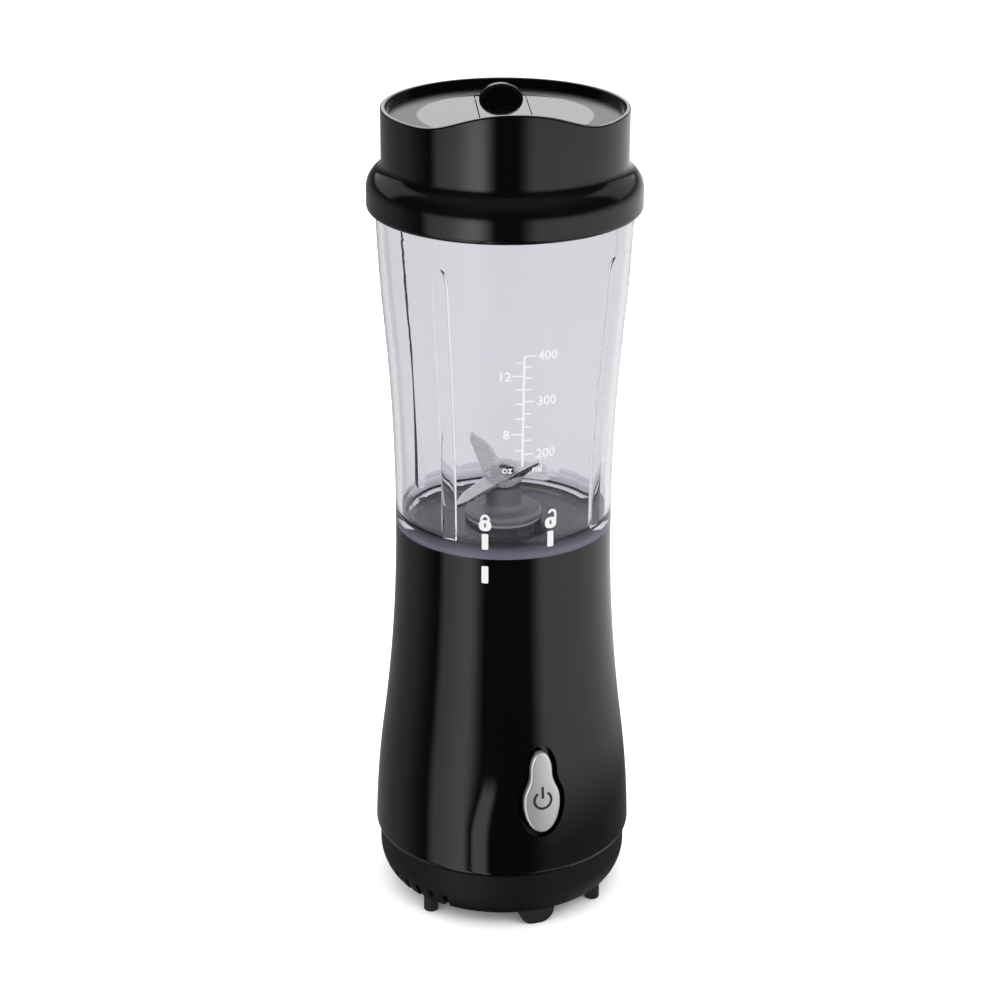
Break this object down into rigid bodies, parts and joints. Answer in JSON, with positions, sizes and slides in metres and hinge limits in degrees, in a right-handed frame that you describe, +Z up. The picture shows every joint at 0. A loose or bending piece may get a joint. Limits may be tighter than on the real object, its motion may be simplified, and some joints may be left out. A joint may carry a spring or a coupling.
{
  "type": "countertop blender",
  "caption": "Single-serve blender: a waisted motor base with a push button, a clear twist-on jar with blades in its floor, and a screw-on drinking lid with a tip-up flap.",
  "frame": {"origin": "on the table, under the vertical axis of the base, jar and lid", "axes": "+Z up along the axis, -Y to the front, where the button is, +X to the right seen from the front"},
  "size_m": [0.1034, 0.1034, 0.3289],
  "materials": {
    "gloss_black": "high gloss",
    "matt_black": "fine matt",
    "clear_plastic": "clear, with a faint violet tint in thick edges",
    "silver_plastic": "satin silver",
    "black_rubber": "matt",
    "clear_silicone": "translucent",
    "stainless_steel": "polished",
    "bright_steel": "plated",
    "lamination_steel": "stamped",
    "copper": "enamelled",
    "sintered_bronze": "dull",
    "brass": "bright",
    "carbon": "matt",
    "moulded_nylon": "natural",
    "grey_plastic": "fine matt",
    "switch_plastic": "matt"
  },
  "bodies": {
    "base": {"base_housing": "gloss_black", "bottom_cover": "matt_black", "cord_grommet": "black_rubber", "cover_screws": "bright_steel", "switch_body": "switch_plastic", "switch_carrier": "moulded_nylon", "carrier_screws": "bright_steel", "upper_bracket": "moulded_nylon", "upper_bearing": "sintered_bronze", "lower_bracket": "moulded_nylon", "lower_bearing": "sintered_bronze", "stator_core": "lamination_steel", "front_field_coil": "copper", "rear_field_coil": "copper", "front_brush_holder": "brass", "rear_brush_holder": "brass", "front_carbon_brush": "carbon", "rear_carbon_brush": "carbon", "tie_screws": "bright_steel", "motor_grommets": "black_rubber", "motor_screws": "bright_steel", "deck_seal": "black_rubber", "foot_1": "black_rubber", "foot_2": "black_rubber", "foot_3": "black_rubber", "foot_4": "black_rubber", "foot_5": "black_rubber", "foot_6": "black_rubber"},
    "button": {"power_button": "silver_plastic"},
    "plunger": {"switch_plunger": "switch_plastic"},
    "rotor": {"motor_shaft": "bright_steel", "armature_core": "lamination_steel", "armature_winding": "copper", "commutator": "copper", "cooling_fan": "moulded_nylon", "drive_clutch": "grey_plastic"},
    "jar": {"jar": "clear_plastic", "blade_bushing": "grey_plastic", "blade_sleeve": "sintered_bronze", "blade_seal": "black_rubber", "bushing_gasket": "clear_silicone", "bushing_nut": "grey_plastic"},
    "blades": {"blade_shaft": "stainless_steel", "blade_spacer": "stainless_steel", "upper_blade": "stainless_steel", "lower_blade": "stainless_steel", "blade_cap_nut": "stainless_steel", "driven_clutch": "grey_plastic"},
    "seal_ring": {"lid_gasket": "clear_silicone"},
    "lid": {"travel_lid": "gloss_black", "flap_hinge_pin": "stainless_steel"},
    "flap": {"sip_flap": "gloss_black", "flap_plug": "clear_silicone"}
  },
  "joints": [
    {"name": "button_press", "type": "slide", "parent": "base", "child": "button", "axis": [0, 1, 0], "range_m": [0, 0.002], "stiffness_N_per_m": 800},
    {"name": "plunger_press", "type": "slide", "parent": "base", "child": "plunger", "axis": [0, 1, 0], "range_m": [0, 0.002]},
    {"name": "motor_spin", "type": "hinge", "parent": "base", "child": "rotor", "pos_m": [0, 0, 0.08], "axis": [0, 0, 1], "continuous": true},
    {"name": "jar_twist", "type": "hinge", "parent": "base", "child": "jar", "pos_m": [0, 0, 0.1577], "axis": [0, 0, 1], "range_deg": [-35, 0]},
    {"name": "blade_spin", "type": "hinge", "parent": "jar", "child": "blades", "pos_m": [0, 0, 0.165], "axis": [0, 0, 1], "continuous": true},
    {"name": "lid_lift", "type": "slide", "parent": "jar", "child": "seal_ring", "axis": [0, 0, 1], "range_m": [0, 0.07]},
    {"name": "lid_turn", "type": "hinge", "parent": "seal_ring", "child": "lid", "pos_m": [0, 0, 0.294], "axis": [0, 0, 1], "range_deg": [0, 180]},
    {"name": "flap_tip", "type": "hinge", "parent": "lid", "child": "flap", "pos_m": [0.00704, 0.02762, 0.31605], "axis": [-0.969, 0.247, 0], "range_deg": [0, 85]}
  ],
  "couplings": [
    {"joint": "plunger_press", "follows": "button_press", "ratio": 1},
    {"joint": "blade_spin", "follows": "motor_spin", "ratio": 1}
  ]
}
